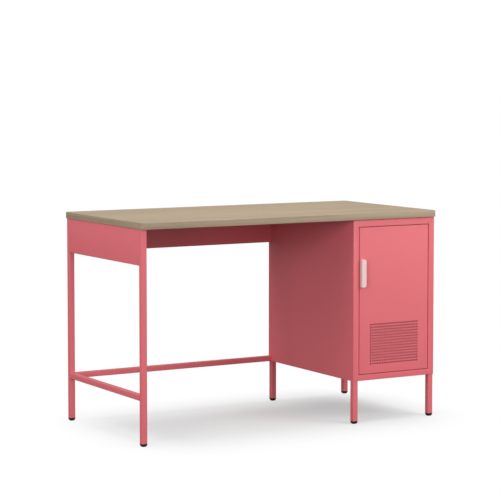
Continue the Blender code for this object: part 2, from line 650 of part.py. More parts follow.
def make_hinge(label, frame_edge, door_edge, outward, frame, door, zinc, plastic):
    """A pivot: a headed pin through the frame's folded edge and a flanged bush in the door's."""
    axis = "-z" if outward > 0 else "z"
    frame_outer = frame_edge + outward * SHEET
    head = (HINGE_X, HINGE_Y, frame_outer + outward * GAP)
    chamfer_across, chamfer_along = PIN_CHAMFER
    pin_profile = [
        (-PIN_HEAD_HEIGHT, PIN_HEAD_RADIUS - chamfer_across),
        (-PIN_HEAD_HEIGHT + chamfer_along, PIN_HEAD_RADIUS),
        (0.0, PIN_HEAD_RADIUS),
        (0.0, PIN_RADIUS),
        (PIN_REACH, PIN_RADIUS),
    ]
    turned(f"hinge_pin_{label}", zinc, head, axis, pin_profile)
    drill(frame, f"pin_hole_{label}", head, axis, PIN_RADIUS + GAP, THROUGH_SHEET)
    bush_profile = [
        (0.0, BUSH_FLANGE),
        (BUSH_FLANGE_THICKNESS, BUSH_FLANGE),
        (BUSH_FLANGE_THICKNESS, BUSH_RADIUS),
        (BUSH_LENGTH, BUSH_RADIUS),
    ]
    bush_start = (HINGE_X, HINGE_Y, door_edge + outward * (GAP + BUSH_FLANGE_THICKNESS))
    bush = turned(
        f"hinge_bush_{label}", plastic, bush_start, axis, bush_profile, bore=PIN_RADIUS + GAP
    )
    hole_start = (HINGE_X, HINGE_Y, door_edge + outward * SHEET)
    drill(door, f"bush_hole_{label}", hole_start, axis, BUSH_RADIUS + GAP, THROUGH_SHEET)
    return bush


def make_catch(frame, plastic, steel, zinc):
    """A magnet in a housing under the frame's top edge and a strike plate on the door's rear lip."""
    middle = DOOR_LEFT + CATCH_OFFSET

    def across(half_width):
        return (middle - half_width, middle + half_width)

    strike_y = (DOOR_BACK + GAP, DOOR_BACK + GAP + STRIKE_SHEET)
    strike_z = tuple(DOOR_TOP - below for below in STRIKE_BELOW_TOP)
    strike = box("strike_plate", zinc, across(STRIKE_HALF_WIDTH), strike_y, strike_z)
    magnet_y = (strike_y[1] + GAP, strike_y[1] + GAP + MAGNET_DEPTH)
    magnet_z = tuple(OPENING_TOP - below for below in MAGNET_BELOW_OPENING)
    box("catch_magnet", steel, across(MAGNET_HALF_WIDTH), magnet_y, magnet_z)
    housing_y = (magnet_y[0] + MAGNET_PROUD, STEEL_FRONT + TOP_RETURN - SHEET)
    housing_z = (OPENING_TOP - HOUSING_HEIGHT, OPENING_TOP - GAP)
    housing = box("catch_housing", plastic, across(HOUSING_HALF_WIDTH), housing_y, housing_z)
    pocket_x = across(MAGNET_HALF_WIDTH + GAP)
    pocket_y = (housing_y[0] - SHEET, magnet_y[1] + GAP)
    pocket_z = (magnet_z[0] - GAP, magnet_z[1] + GAP)
    cut(housing, box("catch_housing.pocket", plastic, pocket_x, pocket_y, pocket_z))
    screw_y = (housing_y[0] + housing_y[1]) / 2
    for label, x in zip(("left", "right"), across(CATCH_SCREW_OFFSET)):
        head = (x, screw_y, housing_z[0] - GAP)
        screw(f"catch_screw_{label}", zinc, head, "z", CATCH_SCREW)
        for pierced in (housing, frame):
            drill(pierced, f"catch_hole_{label}", head, "z", CATCH_HOLE_RADIUS, CATCH_SCREW[1], 8)
    return strike


def make_bumpers(rubber):
    """Two soft discs on the door's rear lip that meet the frame's stop lip."""
    x = DOOR_LEFT + SHEET + DOOR_LIP / 2
    start_y = DOOR_BACK + GAP
    along, across = BUMPER_CHAMFER
    profile = [(0.0, BUMPER_RADIUS), (BUMPER_THICKNESS - along, BUMPER_RADIUS)]
    profile.append((BUMPER_THICKNESS, BUMPER_RADIUS - across))
    levels = {"lower": DOOR_BOTTOM + BUMPER_INSET, "upper": DOOR_TOP - BUMPER_INSET}
    return [
        turned(f"door_bumper_{label}", rubber, (x, start_y, level), "y", profile)
        for label, level in levels.items()
    ]


# ------------------------------------------------------------------ assembly
def hang_on_axis(pieces):
    """An empty on the hinge axis that carries every piece of the door."""
    axis = bpy.data.objects.new("door_axis", None)
    bpy.context.scene.collection.objects.link(axis)
    axis.location = (HINGE_X, HINGE_Y, (DOOR_BOTTOM + DOOR_TOP) / 2)
    for piece in pieces:
        piece.parent = axis
        piece.location = piece.location - axis.location


def main():
    for left_over in list(bpy.data.objects):
        bpy.data.objects.remove(left_over, do_unlink=True)

    coral = finish("coral_paint", 222, 116, 123, roughness=0.45)
    oak = finish("oak_board", 190, 172, 146, roughness=0.5)
    plastic = finish("black_plastic", 28, 28, 30, roughness=0.55)
    rubber = finish("black_rubber", 22, 22, 23, roughness=0.8)
    white = finish("handle_paint", 229, 214, 208, roughness=0.4)
    zinc = finish("zinc_steel", 182, 184, 186, roughness=0.35, metallic=1.0)
    magnet = finish("magnet_ferrite", 70, 70, 72, roughness=0.5, metallic=0.6)

    top = make_tabletop(oak)
    side_apron = make_open_end(coral, plastic)
    posts = make_posts(coral, plastic)
    frame = make_front_frame(coral)
    left_panel, roof = make_shell(coral)
    rear_apron = make_rear_rails(coral, zinc, posts, left_panel)
    fix_board(top, (side_apron, rear_apron, roof), zinc)
    make_shelf(coral, zinc)

    door = make_door_panel(coral)
    handle = make_handle(white, zinc, door)
    strike = make_catch(frame, plastic, magnet, zinc)
    lower_bush = make_hinge("lower", OPENING_BOTTOM, DOOR_BOTTOM, -1, frame, door, zinc, plastic)
    upper_bush = make_hinge("upper", OPENING_TOP, DOOR_TOP, 1, frame, door, zinc, plastic)
    screws = [bpy.data.objects[f"handle_screw_{label}"] for label in ("lower", "upper")]
    bumpers = make_bumpers(rubber)
    hang_on_axis([door, make_stiffener(coral), handle, strike, lower_bush, upper_bush, *screws, *bumpers])


main()
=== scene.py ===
"""Looks for the steel desk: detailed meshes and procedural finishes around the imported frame.

Metres, +Z up, the door faces -Y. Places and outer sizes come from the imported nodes' boxes, and the
measures below are for the detail inside those boxes.
"""

import json
import math

import bmesh
import bpy
from mathutils import Matrix, Vector


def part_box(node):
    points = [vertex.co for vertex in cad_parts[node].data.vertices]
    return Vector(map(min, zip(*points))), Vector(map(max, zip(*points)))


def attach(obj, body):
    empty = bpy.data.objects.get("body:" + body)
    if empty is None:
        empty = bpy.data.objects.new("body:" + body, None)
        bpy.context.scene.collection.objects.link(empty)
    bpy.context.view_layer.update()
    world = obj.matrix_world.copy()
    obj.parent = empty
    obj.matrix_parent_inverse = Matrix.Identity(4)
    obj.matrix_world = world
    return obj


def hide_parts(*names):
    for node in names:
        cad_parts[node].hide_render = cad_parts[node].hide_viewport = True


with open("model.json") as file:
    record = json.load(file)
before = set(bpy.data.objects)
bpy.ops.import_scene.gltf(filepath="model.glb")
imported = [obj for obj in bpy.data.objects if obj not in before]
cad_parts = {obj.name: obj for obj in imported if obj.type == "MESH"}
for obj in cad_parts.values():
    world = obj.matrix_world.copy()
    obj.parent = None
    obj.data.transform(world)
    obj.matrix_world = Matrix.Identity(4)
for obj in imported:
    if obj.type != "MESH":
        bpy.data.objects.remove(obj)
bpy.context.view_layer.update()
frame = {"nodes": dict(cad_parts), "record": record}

# ------------------------------------------------------------------ measures (metres)
SHEET = 0.001  # thickness
FOLD_RADIUS = 0.0018  # outside radius of a fold in sheet
SHEARED_EDGE = 0.0002  # softening of a cut sheet edge
TUBE_RADIUS = 0.0022
TUBE_WALL = 0.0015
WELD_GAP = 0.0003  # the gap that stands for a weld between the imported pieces
CORNER_STEPS = 8
ARC_STEPS = 5  # round a fold or an arris
BOARD_CORNER = 0.012
BOARD_ARRIS = 0.0012
BAND_THICKNESS = 0.0015
BAND_HAIRLINE = 0.00008  # the seam between the board and its band
CORE_EDGE = 0.00015  # softening of the board's own edge, inside the band

SMOOTH_ANGLE = 35.0  # degrees: faces that meet at less are shaded smooth
ROLLED_SMOOTH_ANGLE = 40.0  # the same, on rolled, moulded and turned pieces
THREAD_SMOOTH_ANGLE = 45.0
WELD_SMOOTH_ANGLE = 60.0
BEVEL_ANGLE = 50.0  # degrees: edges sharper than this are softened
HOLE_SEGMENTS = 20
VENT_SEGMENTS = 16
SCREW_SEGMENTS = 24
TURNED_SEGMENTS = 32
WELD_SEGMENTS = 12

FOOT_PAD = (  # height, side and corner radius, from the floor up to where the pad is full
    (0.0, 0.0136, 0.0030),
    (0.0004, 0.0146, 0.0034),
    (0.0011, 0.0158, 0.0038),
    (0.0024, 0.0175, 0.0038),
    (0.0044, 0.0190, 0.0032),
    (0.0062, 0.0198, 0.0026),
)
FOOT_SHOULDER = 0.0072  # the pad is full from here up
FOOT_PAD_TOP = 0.0097
FOOT_ARRIS = 0.0003
FOOT_STEM_PLAY = 0.0006  # between the stem and the tube's bore
FOOT_STEM_CORNER = 0.0008
FOOT_STEM_TAPER = 0.001  # at the stem's upper end

PEG_HOLE_RADIUS = 0.0026
PEG_HOLE_DEPTH = 0.006
PEG_HOLE_PITCH = 0.050
PEG_HOLES_EACH_WAY = 3
PEG_RADIUS = 0.0022
PEG_LENGTH = 0.005
PEG_CHAMFER = 0.0005
CLIP_SHEET = 0.0015
CLIP_FOLD = 0.0022
CLIP_GAP = 0.0003  # between the clip and its post

TRAY_CORNER = 0.0009
CORNER_NOTCH = 0.0206  # cut from the cabinet's floor and roof round the posts
SHELF_LIP = 0.010
OPENING_RETURN = 0.016  # depth of the fold round the door's opening
LATCH_RETURN = 0.020  # and on the side where the door stops
STOP_LIP = 0.014
FRAME_FLANGE = 0.0013  # as far back as where the side sheets begin
FRAME_EDGE_RADIUS = 0.0012

DOOR_SIDE_GAP = 0.003
DOOR_END_GAP = 0.002
DOOR_LIP = 0.012
VENT_COLUMNS = 21
VENT_ROWS = 15
VENT_PITCH = 0.0101
VENT_BOTTOM = 0.0355  # first row of holes above the door's lower edge
VENT_RADIUS = 0.003
COUNTERSINK = 0.0002
STIFFENER_BRIM = 0.012
STIFFENER_FOLD = 0.0015
HANDLE_SHEET = 0.0024
HANDLE_CORNER = 0.008
HANDLE_FOLD = 0.0026
HANDLE_EDGE = 0.0007

SCREWS = {  # where the shank points, height of the head, radius of the shank
    "board_screw": ("z", 0.0025, 0.0020),
    "catch_screw": ("z", 0.0016, 0.0015),
    "handle_screw": ("-y", 0.0020, 0.0020),
    "bolt": ("-x", 0.0035, 0.0025),
}
HEAD_PROFILE = (  # shares of the head's height and radius, from its top to where it bears
    (1.00, 0.72),
    (0.90, 0.88),
    (0.62, 0.98),
    (0.35, 1.00),
)
SOCKET = 0.5  # its width across corners, as a share of the head's
SOCKET_FLOOR = 0.45  # its floor's height, as a share of the head's
THREAD_PITCH = 0.5  # shares of the shank's radius
THREAD_ROOT = 0.8
THREAD_START = 0.3
TIP = 0.45
BREAK = 0.0002  # the small bevel of a turned edge
NUT_BORE = 0.0029
NUT_CHAMFER = 0.0004
NUT_FACE = 0.86  # share of its width across corners
PIN_PROFILE = (  # height and radius
    (0.0, 0.0028),
    (0.0003, 0.0036),
    (0.0010, 0.0040),
    (0.0014, 0.0040),
    (0.0014, 0.0020),
    (0.0148, 0.0020),
    (0.0154, 0.0014),
)
BUSH_PROFILE = (
    (0.0, 0.0042),
    (0.0003, 0.0045),
    (0.0012, 0.0045),
    (0.0012, 0.0035),
    (0.0090, 0.0035),
)
BUSH_BORE = 0.0023
BUMPER_PROFILE = (
    (0.0, 0.0040),
    (0.0006, 0.0040),
    (0.0012, 0.0037),
    (0.0016, 0.0030),
    (0.0018, 0.0020),
    (0.0019, 0.0008),
)
HOUSING_EDGE = 0.0012
MAGNET_EDGE = 0.0005
STRIKE_EDGE = 0.0004
MAGNET_CLEARANCE = 0.0003
POCKET_REACH = 0.003  # how far the magnet's pocket runs out through the housing's front
WELD_RADIUS = 0.0017
WELD_RIPPLE = 0.0016
WELD_STATIONS = 6  # rings for each ripple
WELD_SWELL = 0.14  # share of the radius that comes and goes with each ripple
WELD_TIP = 0.3  # share of the radius at the bead's ends
WELD_TAPER = 6  # how fast it grows from there, per bead length
WELD_LENGTH = 0.025
WELD_INSET = 0.002  # from a rail's edges
WELD_UNDER_INSET = 0.003
WELD_APRON_INSET = 0.030

CAMERA_LOCATION = (-3.5137, -6.0228, 1.2608)
CAMERA_YAW = 30.20  # degrees to the right of straight ahead
CAMERA_PITCH = 4.111  # degrees down
CAMERA_LENS = 139.17  # millimetres, as the sensor's width
CAMERA_SENSOR = 36.0
CAMERA_SHIFT = -0.08
CAMERA_REACH = 100.0
FLOOR_REACH = 20.0  # half the floor's side
FLOOR_COLOUR = (0.53, 0.55, 0.55, 1.0)
FLOOR_GLOW = 0.36  # lifts the shadows on the floor, as seen by the camera
FLOOR_BOUNCE = (0.16, 0.16, 0.16, 1.0)
FLOOR_CENTRE = (0.02, -0.06, 0.0)  # middle of the part that doesn't fade to white
FLOOR_CORE = (0.42, 0.12, 0.0)  # half that part's size
FLOOR_FADE = (0.36, 0.50, 1.0)  # how far past that part the floor is white, along X and Y
WORLD_FILL = 0.5
SOFTBOXES = {  # place, target, size and power in watts
    "overhead": ((0.0, 0.0, 2.6), (0.0, 0.0, 0.0), (2.6, 2.0), 40.0),
    "front_right": ((1.4, -1.9, 1.4), (0.3, 0.0, 0.5), (1.2, 1.0), 21.0),
    "front": ((0.3, -4.0, 1.0), (0.0, 0.0, 0.4), (3.0, 1.2), 15.0),
    "left": ((-2.4, 0.0, 1.9), (0.0, 0.0, 0.4), (1.6, 1.6), 10.0),
    "far_left": ((-4.0, -3.0, 1.4), (0.0, 0.0, 0.4), (2.0, 1.4), 80.0),
}

COAT_SPECULAR = 0.35
OAK_LIGHT = 1.06  # the tone bands' colours, as shares of the oak colours
OAK_DEEP = 0.925
CORAL_RGB = (231, 114, 122)  # display colours
OAK_RGB = (159, 139, 111)
OAK_BAND_RGB = (167, 148, 123)
OAK_DARK_RGB = (116, 98, 74)
HANDLE_RGB = (237, 211, 206)
PLASTIC_RGB = (30, 30, 32)
RUBBER_RGB = (24, 24, 25)
FERRITE_RGB = (74, 74, 78)
ZINC_COOL_RGB = (176, 181, 188)
ZINC_WARM_RGB = (196, 190, 176)

DOOR_NODES = set(frame["record"]["behaviour"]["bodies"]["door"])
SLOT_OF = {row["node"]: row["material_slot"] for row in frame["record"]["subparts"]}


# ------------------------------------------------------------------ material building blocks
def linear(value):
    """Scene value of one 8-bit sRGB channel."""
    share = value / 255
    return share / 12.92 if share <= 0.04045 else ((share + 0.055) / 1.055) ** 2.4


def display_colour(channels):
    """Scene colour of an 8-bit display colour."""
    return tuple(linear(channel) for channel in channels) + (1.0,)


def scaled(colour, factor):
    """A colour made lighter or darker, its alpha kept at 1."""
    return tuple(channel * factor for channel in colour[:3]) + (1.0,)


class Finish:
    """A Principled material with short ways to add the nodes that these finishes share."""

    def __init__(self, name, roughness, metallic=0.0):
        self.material = bpy.data.materials.new(name)
        self.material.use_nodes = True
        self.tree = self.material.node_tree
        self.shader = self.tree.nodes["Principled BSDF"]
        self.shader.inputs["Roughness"].default_value = roughness
        self.shader.inputs["Metallic"].default_value = metallic
        self.place = self.add("ShaderNodeTexCoord").outputs["Object"]

    def add(self, kind, **settings):
        node = self.tree.nodes.new(kind)
        for key, value in settings.items():
            setattr(node, key, value)
        return node

    def link(self, source, target):
        self.tree.links.new(source, target)

    def stretched(self, scale):
        """Object coordinates scaled along each axis."""
        mapping = self.add("ShaderNodeMapping")
        mapping.inputs["Scale"].default_value = scale
        self.link(self.place, mapping.inputs["Vector"])
        return mapping.outputs["Vector"]

    def noise(self, scale, detail=2.0, roughness=0.5, stretch=None, distortion=0.0):
        """Noise from 0 to 1, with features 1 / scale metres across, or stretched per axis."""
        node = self.add("ShaderNodeTexNoise")
        node.inputs["Scale"].default_value = scale
        node.inputs["Detail"].default_value = detail
        node.inputs["Roughness"].default_value = roughness
        node.inputs["Distortion"].default_value = distortion
        self.link(self.stretched(stretch) if stretch else self.place, node.inputs["Vector"])
        return node.outputs["Fac"]

    def spread(self, value, low, high, to_low=0.0, to_high=1.0):
        """Carries a value from one range to another, clamped."""
        node = self.add("ShaderNodeMapRange")
        ends = {"From Min": low, "From Max": high, "To Min": to_low, "To Max": to_high}
        for key, number in ends.items():
            node.inputs[key].default_value = number
        self.link(value, node.inputs["Value"])
        return node.outputs["Result"]

    def mix(self, factor, first, second):
        """Mixes two colours, each a socket or a colour, by a socket or a number."""
        node = self.add("ShaderNodeMix", data_type="RGBA")
        for index, value in ((0, factor), (6, first), (7, second)):  # the colour mix's own sockets
            if isinstance(value, bpy.types.NodeSocket):
                self.link(value, node.inputs[index])
            else:
                node.inputs[index].default_value = value
        return node.outputs[2]

    def colour(self, socket):
        self.link(socket, self.shader.inputs["Base Color"])

    def roughness(self, socket):
        self.link(socket, self.shader.inputs["Roughness"])

    def bump(self, height, distance):
        """Adds relief of a depth in metres to any that is there already."""
        node = self.add("ShaderNodeBump")
        node.inputs["Distance"].default_value = distance
        self.link(height, node.inputs["Height"])
        previous = self.shader.inputs["Normal"]
        if previous.is_linked:
            self.link(previous.links[0].from_socket, node.inputs["Normal"])
        self.link(node.outputs["Normal"], previous)


# ------------------------------------------------------------------ finishes
def powder_coat(name, colour, roughness):
    """Satin powder coat: even colour, fine orange peel and a little drift in gloss."""
    made = Finish(name, roughness)
    made.shader.inputs["Specular IOR Level"].default_value = COAT_SPECULAR
    drift = made.spread(made.noise(2.5, detail=3.0), 0.3, 0.7)
    even = made.mix(drift, scaled(colour, 0.975), scaled(colour, 1.02))
    speck = made.spread(made.noise(2600.0, detail=1.0), 0.35, 0.65)
    made.colour(made.mix(speck, even, scaled(colour, 0.955)))
    gloss = made.noise(30.0, detail=3.0)
    made.roughness(made.spread(gloss, 0.3, 0.7, roughness - 0.04, roughness + 0.05))
    made.bump(made.noise(520.0, detail=2.0, roughness=0.45), 0.00011)
    made.bump(made.noise(1900.0, detail=1.0), 0.00002)
    return made.material


def oak_laminate(name, colour, band_colour, dark):
    """Pale oak print: tone bands, fine streaks and short pores along X, or along Y at the ends."""
    made = Finish(name, 0.5)

    def grain(along):
        def stretch(lengthwise, across):
            """Features per metre, along the grain and across it."""
            return tuple(lengthwise if axis == along else across for axis in "xyz")

        bands = made.noise(1.0, 3.0, 0.5, stretch(0.9, 16.0), distortion=0.6)
        figure = made.noise(1.0, 4.0, 0.6, stretch(2.2, 75.0), distortion=0.35)
        streaks = made.noise(1.0, 4.0, 0.65, stretch(6.0, 420.0))
        pores = made.noise(1.0, 2.0, 0.6, stretch(45.0, 1500.0))
        return bands, figure, streaks, pores

    geometry = made.add("ShaderNodeNewGeometry")
    split = made.add("ShaderNodeSeparateXYZ")
    made.link(geometry.outputs["Normal"], split.inputs["Vector"])
    sideways = made.add("ShaderNodeMath", operation="ABSOLUTE")
    made.link(split.outputs["X"], sideways.inputs[0])
    at_end = made.spread(sideways.outputs[0], 0.65, 0.75)

    def chosen(pair):
        node = made.add("ShaderNodeMix", data_type="FLOAT")
        made.link(at_end, node.inputs[0])
        made.link(pair[0], node.inputs[2])
        made.link(pair[1], node.inputs[3])
        return node.outputs[0]

    bands, figure, streaks, pores = (chosen(pair) for pair in zip(grain("x"), grain("y")))
    facing_up = made.spread(split.outputs["Z"], 0.4, 0.8)
    light_tone = made.mix(facing_up, scaled(band_colour, OAK_LIGHT), scaled(colour, OAK_LIGHT))
    deep_tone = made.mix(facing_up, scaled(band_colour, OAK_DEEP), scaled(colour, OAK_DEEP))
    tone = made.mix(made.spread(bands, 0.32, 0.68), light_tone, deep_tone)
    tone = made.mix(made.spread(figure, 0.45, 0.72, 0.0, 0.42), tone, dark)
    tone = made.mix(made.spread(streaks, 0.48, 0.75, 0.0, 0.40), tone, dark)
    made.colour(made.mix(made.spread(pores, 0.60, 0.72, 0.0, 0.40), tone, scaled(dark, 0.7)))
    made.roughness(made.spread(streaks, 0.3, 0.7, 0.46, 0.56))
    made.bump(made.spread(pores, 0.55, 0.72, 1.0, 0.0), 0.00004)
    made.bump(streaks, 0.00003)
    return made.material


def moulded(name, colour, roughness):
    """Fine spark-eroded plastic or rubber."""
    made = Finish(name, roughness)
    made.colour(made.mix(made.noise(60.0, 3.0), scaled(colour, 0.85), scaled(colour, 1.25)))
    gloss = made.noise(200.0, 2.0)
    made.roughness(made.spread(gloss, 0.3, 0.7, roughness - 0.06, roughness + 0.08))
    made.bump(made.noise(1800.0, 2.0, 0.6), 0.00004)
    return made.material


def zinc_plate():
    """Bright zinc with a cool and a warm drift and faint drawing lines."""
    made = Finish("zinc_steel", 0.34, metallic=1.0)
    drift = made.spread(made.noise(120.0, 3.0), 0.35, 0.65)
    made.colour(made.mix(drift, display_colour(ZINC_COOL_RGB), display_colour(ZINC_WARM_RGB)))
    made.roughness(made.spread(made.noise(500.0, 3.0), 0.3, 0.7, 0.26, 0.44))
    made.bump(made.noise(1.0, 2.0, 0.5, (300.0, 300.0, 3000.0)), 0.00002)
    return made.material


oak_colours = [display_colour(channels) for channels in (OAK_RGB, OAK_BAND_RGB, OAK_DARK_RGB)]
finishes = {
    "coral_paint": powder_coat("coral_paint", display_colour(CORAL_RGB), 0.42),
    "oak_board": oak_laminate("oak_board", *oak_colours),
    "black_plastic": moulded("black_plastic", display_colour(PLASTIC_RGB), 0.5),
    "black_rubber": moulded("black_rubber", display_colour(RUBBER_RGB), 0.8),
    "handle_paint": powder_coat("handle_paint", display_colour(HANDLE_RGB), 0.38),
    "zinc_steel": zinc_plate(),
    "magnet_ferrite": moulded("magnet_ferrite", display_colour(FERRITE_RGB), 0.45),
}


# ------------------------------------------------------------------ mesh building blocks
def rounded_rectangle(width, height, radius, steps=CORNER_STEPS):
    """Points of a rectangle about the origin with round corners, counter-clockwise."""
    points = []
    for quarter, (side, end) in enumerate(((1, 1), (-1, 1), (-1, -1), (1, -1))):
        centre_x = side * (width / 2 - radius)
        centre_y = end * (height / 2 - radius)
        for step in range(steps + 1):
            angle = math.radians(90) * (quarter + step / steps)
            x = centre_x + radius * math.cos(angle)
            y = centre_y + radius * math.sin(angle)
            points.append((x, y))
    return points


def quarter_turn(steps):
    """Angles from 0 to 90 degrees, both included."""
    return [math.radians(90) * step / steps for step in range(steps + 1)]


def circle(radius, segments):
    """Points of a circle about the origin, counter-clockwise from +X."""
    turns = [2 * math.pi * step / segments for step in range(segments)]
    return [(radius * math.cos(turn), radius * math.sin(turn)) for turn in turns]


def hexagon(across_corners, segments):
    """A hexagon with points shared out along its sides, to bridge to a circle."""
    points = []
    for x, y in circle(1.0, segments):
        turn = math.atan2(y, x) % math.radians(60) - math.radians(30)
        reach = across_corners * math.cos(math.radians(30)) / math.cos(turn)
        points.append((x * reach, y * reach))
    return points


def add_loft(builder, rings, loop=False):
    """Faces through rings of 3-D points. Ends are capped, or the last ring joins the first."""
    made = [[builder.verts.new(point) for point in ring] for ring in rings]
    count = len(made[0])
    pairs = list(zip(made, made[1:]))
    if loop:
        pairs.append((made[-1], made[0]))
    for lower, upper in pairs:
        for here in range(count):
            after = (here + 1) % count
            builder.faces.new((lower[here], lower[after], upper[after], upper[here]))
    if not loop:
        builder.faces.new(list(reversed(made[0])))
        builder.faces.new(made[-1])


def add_box(builder, low, high):
    """A block between two opposite corners."""
    corners = bmesh.ops.create_cube(builder, size=1.0)["verts"]
    size = [b - a for a, b in zip(low, high)]
    middle = [(a + b) / 2 for a, b in zip(low, high)]
    bmesh.ops.scale(builder, vec=size, verts=corners)
    bmesh.ops.translate(builder, vec=middle, verts=corners)


def folded_path(corners, radius=FOLD_RADIUS, steps=6):
    """A polyline with its inner corners rounded: (point, unit normal to its left) pairs."""
    corners = [Vector(corner) for corner in corners]

    def left_of(direction):
        return Vector((-direction.y, direction.x))

    first = (corners[1] - corners[0]).normalized()
    path = [(corners[0], left_of(first))]
    for before, corner, after in zip(corners, corners[1:], corners[2:]):
        come = (corner - before).normalized()
        go = (after - corner).normalized()
        turn = math.atan2(come.x * go.y - come.y * go.x, come.dot(go))
        side = 1 if turn > 0 else -1
        reach = radius * math.tan(abs(turn) / 2)
        centre = corner - come * reach + left_of(come) * radius * side
        for step in range(steps + 1):
            swing = Matrix.Rotation(turn * step / steps, 2)
            normal = swing @ left_of(come)
            path.append((centre - normal * radius * side, normal))
    last = (corners[-1] - corners[-2]).normalized()
    path.append((corners[-1], left_of(last)))
    return path


def sheet_section(corners, thickness=SHEET, radius=FOLD_RADIUS):
    """Outline of a folded sheet whose outer face follows the corners, thick towards its left."""
    path = folded_path(corners, radius)
    inner = [point + normal * thickness for point, normal in reversed(path)]
    return [point for point, _ in path] + inner


PLANES = {  # a point of a plane across an axis, and its place along that axis, as X, Y and Z
    "x": lambda u, v, w: (w, u, v),
    "y": lambda u, v, w: (u, w, v),
    "z": lambda u, v, w: (u, v, w),
}


def add_extrusion(builder, outline, axis, start, end):
    """An outline in the plane across an axis, carried along it."""
    at = PLANES[axis]
    add_loft(builder, [[at(u, v, w) for u, v in outline] for w in (start, end)])


def place_rings(rings, axis, at):
    """Rings of (height, outline) turned so that height runs along an axis from a point."""
    turns = {
        "z": Matrix.Identity(3),
        "-z": Matrix.Rotation(math.radians(180), 3, "X"),
        "x": Matrix.Rotation(math.radians(90), 3, "Y"),
        "-x": Matrix.Rotation(math.radians(-90), 3, "Y"),
        "y": Matrix.Rotation(math.radians(-90), 3, "X"),
        "-y": Matrix.Rotation(math.radians(90), 3, "X"),
    }
    turn = turns[axis]
    placed = []
    for height, outline in rings:
        placed.append([Vector(at) + turn @ Vector((x, y, height)) for x, y in outline])
    return placed


def finish_piece(
    builder, name, slot, body, replaced=(), bevel=0.0, bevel_segments=2, smooth_angle=SMOOTH_ANGLE
):
    """The piece's object: faces out, shaded, softened at sharp edges, riding on its body."""
    bmesh.ops.recalc_face_normals(builder, faces=builder.faces)
    mesh = bpy.data.meshes.new(name)
    builder.to_mesh(mesh)
    builder.free()
    mesh.materials.append(finishes[slot])
    mesh.shade_smooth()
    mesh.set_sharp_from_angle(angle=math.radians(smooth_angle))
    piece = bpy.data.objects.new(name, mesh)
    bpy.context.scene.collection.objects.link(piece)
    if bevel:
        modifier = piece.modifiers.new("soft edges", "BEVEL")
        modifier.width = bevel
        modifier.segments = bevel_segments
        modifier.limit_method = "ANGLE"
        modifier.angle_limit = math.radians(BEVEL_ANGLE)
        modifier.harden_normals = True
    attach(piece, body)
    if replaced:
        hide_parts(*replaced)
    return piece


def replace_node(builder, node, **settings):
    """A piece that stands for one node, with its slot and body."""
    body = "door" if node in DOOR_NODES else "desk"
    return finish_piece(builder, f"{node}_looks", SLOT_OF[node], body, (node,), **settings)


# ------------------------------------------------------------------ the board
def inset_outline(low, high, inset, corner):
    """The box's plan outline, moved inward, with round corners."""
    middle = (low + high) / 2
    outline = rounded_rectangle(high.x - low.x - 2 * inset, high.y - low.y - 2 * inset, corner, 12)
    return [(middle.x + x, middle.y + y) for x, y in outline]


def make_board():
    """A laminated board and the band glued round its edge."""
    low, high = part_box("tabletop")
    core_inset = BAND_THICKNESS + BAND_HAIRLINE
    core_outline = inset_outline(low, high, core_inset, BOARD_CORNER - BAND_THICKNESS)
    builder = bmesh.new()
    add_loft(builder, [[(x, y, z) for x, y in core_outline] for z in (low.z, high.z)])
    finish_piece(builder, "board_core", "oak_board", "desk", ("tabletop",), bevel=CORE_EDGE)

    builder = bmesh.new()
    arris = []  # inset, distance from the band's lower or upper face
    for swing in quarter_turn(ARC_STEPS):
        arris.append((BOARD_ARRIS * (1 - math.sin(swing)), BOARD_ARRIS * (1 - math.cos(swing))))
    rings = [(inset, low.z + distance) for inset, distance in arris]
    rings += [(inset, high.z - distance) for inset, distance in reversed(arris)]
    rings.append((BAND_THICKNESS, high.z))
    rings.append((BAND_THICKNESS, low.z))
    loops = []
    for inset, z in rings:
        outline = inset_outline(low, high, inset, BOARD_CORNER - inset)
        loops.append([(x, y, z) for x, y in outline])
    add_loft(builder, loops, loop=True)
    finish_piece(builder, "board_edge_band", "oak_board", "desk")


# ------------------------------------------------------------------ tubes and feet
def make_tube(node, axis, holes=()):
    """A round-cornered tube that fills a node's box, open at its ends."""
    low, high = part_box(node)
    middle = (low + high) / 2
    index = "xyz".index(axis)
    across = [other for other in range(3) if other != index]
    side = high[across[0]] - low[across[0]]
    at = PLANES[axis]
    outer = rounded_rectangle(side, side, TUBE_RADIUS)
    bore_side = side - 2 * TUBE_WALL
    inner = rounded_rectangle(bore_side, bore_side, TUBE_RADIUS - TUBE_WALL)
    centre_u = middle[across[0]]
    centre_v = middle[across[1]]
    start = low[index]
    end = high[index]
    rings = []
    for outline, w in ((outer, start), (outer, end), (inner, end), (inner, start)):
        rings.append([at(centre_u + u, centre_v + v, w) for u, v in outline])
    builder = bmesh.new()
    add_loft(builder, rings, loop=True)
    piece = replace_node(builder, node)
    if holes:
        drill(piece, holes)


def drill(piece, holes):
    """Cuts round holes, each given as start point, axis, radius and length."""
    builder = bmesh.new()
    for start, axis, radius, length in holes:
        outline = circle(radius, HOLE_SEGMENTS)
        add_loft(builder, place_rings([(0.0, outline), (length, outline)], axis, start))
    cut_with(piece, builder)


